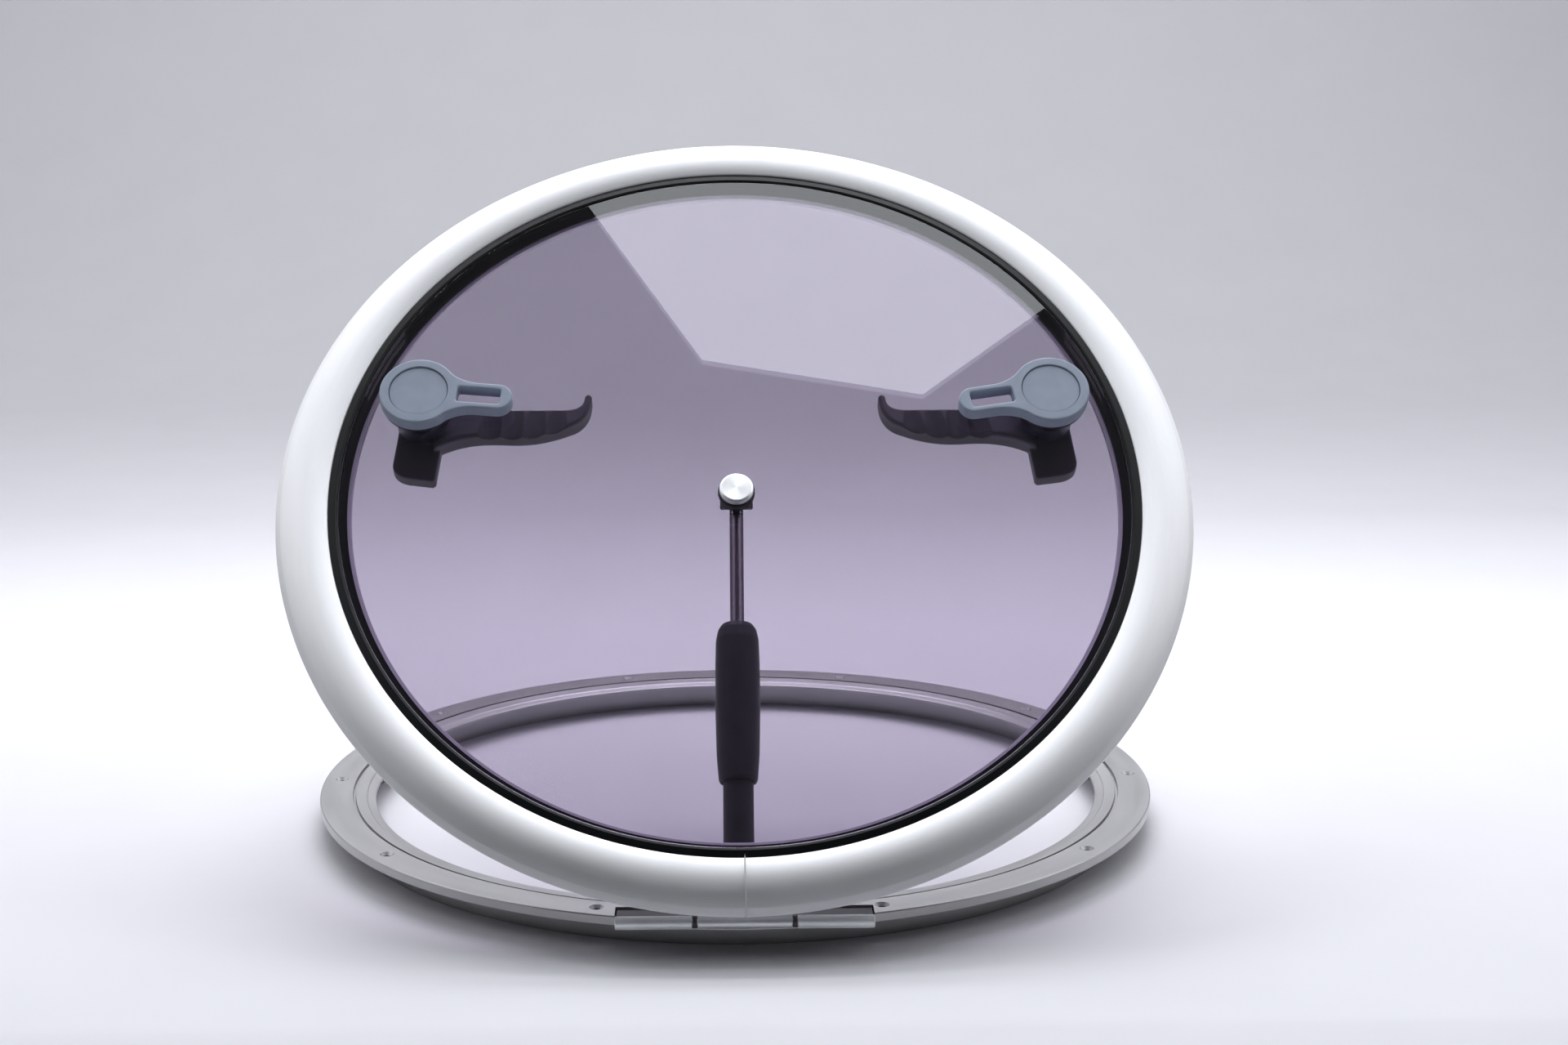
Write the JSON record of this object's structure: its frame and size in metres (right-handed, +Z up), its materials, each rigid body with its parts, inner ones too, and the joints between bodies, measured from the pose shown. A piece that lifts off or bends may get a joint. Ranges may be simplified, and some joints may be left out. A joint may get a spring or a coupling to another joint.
{
  "type": "round deck hatch",
  "caption": "Round hinged deck hatch with a flanged base ring, domed lid frame, smoked acrylic pane, quarter-turn latches and a telescopic twist-lock stay.",
  "frame": {"origin": "middle of the overall box in plan, with the lid open as modelled, on the level of the spigot's lower edge", "axes": "+Z up out of the deck, hinge at the front (-Y), +Y away from the hinge, +X to the right seen from the hinge side"},
  "size_m": [0.512, 0.5148, 0.3962],
  "materials": {
    "satin_aluminium": "satin, turned and lightly brushed round the ring",
    "matt_aluminium": "matt, bead-blasted",
    "stainless_steel": "brushed",
    "rod_steel": "polished",
    "glazing_black": "smooth gloss bead",
    "seal_rubber": "matt",
    "black_nylon": "fine moulded texture",
    "grey_nylon": "fine moulded texture",
    "smoke_acrylic": "polished cast acrylic, light smoke tint"
  },
  "bodies": {
    "deck_frame": {"base_ring": "matt_aluminium", "base_spigot": "matt_aluminium", "hinge_base_leaf": "stainless_steel", "hinge_pin": "stainless_steel", "hinge_washer_left": "black_nylon", "hinge_washer_right": "black_nylon", "hinge_rivet_1": "stainless_steel", "hinge_rivet_2": "stainless_steel", "hinge_rivet_3": "stainless_steel", "stay_foot_bracket": "stainless_steel", "stay_foot_stud_1": "stainless_steel", "stay_foot_stud_2": "stainless_steel", "stay_bracket_screw_1": "stainless_steel", "stay_bracket_screw_2": "stainless_steel"},
    "lid": {"lid_ring": "satin_aluminium", "glazing_sealant": "glazing_black", "acrylic_pane": "smoke_acrylic", "lid_seal": "seal_rubber", "hinge_lid_leaf": "stainless_steel", "hinge_lid_screw_1": "stainless_steel", "hinge_lid_screw_2": "stainless_steel", "stay_bolt": "stainless_steel", "stay_bolt_washer": "seal_rubber", "stay_clevis": "black_nylon", "stay_clevis_pin": "stainless_steel", "left_pane_bush": "black_nylon", "right_pane_bush": "black_nylon", "left_handle_gasket": "seal_rubber", "right_handle_gasket": "seal_rubber"},
    "left_latch": {"left_outer_handle": "grey_nylon", "left_handle_cap": "grey_nylon", "left_spindle": "stainless_steel", "left_o_ring": "seal_rubber", "left_inner_handle": "black_nylon", "left_handle_screw": "stainless_steel"},
    "right_latch": {"right_outer_handle": "grey_nylon", "right_handle_cap": "grey_nylon", "right_spindle": "stainless_steel", "right_o_ring": "seal_rubber", "right_inner_handle": "black_nylon", "right_handle_screw": "stainless_steel"},
    "stay_rod_assembly": {"stay_rod": "rod_steel", "stay_rod_fork": "black_nylon", "stay_rod_guide": "black_nylon"},
    "stay_tube_assembly": {"stay_tube": "black_nylon", "stay_collet": "black_nylon", "stay_foot_plug": "black_nylon", "stay_foot_bush": "stainless_steel"},
    "twist_grip": {"stay_twist_grip": "black_nylon"}
  },
  "joints": [
    {"name": "lid_hinge", "type": "hinge", "parent": "deck_frame", "child": "lid", "pos_m": [0.0026, -0.24559, 0.02], "axis": [1, 0, 0], "range_deg": [-46.14, 23.86]},
    {"name": "left_latch_turn", "type": "hinge", "parent": "lid", "child": "left_latch", "pos_m": [-0.1795, -0.04403, 0.25832], "axis": [0, 0.721, -0.6929], "range_deg": [-5.5, 84.5]},
    {"name": "right_latch_turn", "type": "hinge", "parent": "lid", "child": "right_latch", "pos_m": [0.1795, -0.04403, 0.25832], "axis": [0, -0.721, 0.6929], "range_deg": [-9.5, 80.5]},
    {"name": "stay_swing", "type": "hinge", "parent": "lid", "child": "stay_rod_assembly", "pos_m": [0, -0.07446, 0.1988], "axis": [1, 0, 0], "range_deg": [-4.9, 2.6]},
    {"name": "stay_slide", "type": "slide", "parent": "stay_rod_assembly", "child": "stay_tube_assembly", "axis": [0, -0.57, -0.8216], "range_m": [-0.0259, 0.0134]},
    {"name": "grip_twist", "type": "hinge", "parent": "stay_tube_assembly", "child": "twist_grip", "pos_m": [0, -0.20509, 0.0105], "axis": [0, 0.57, 0.8216], "range_deg": [0, 90]}
  ],
  "couplings": [
    {"joint": "stay_swing", "follows": "lid_hinge", "ratio": 0.105},
    {"joint": "stay_slide", "follows": "lid_hinge", "m_per_rad": 0.03209}
  ]
}
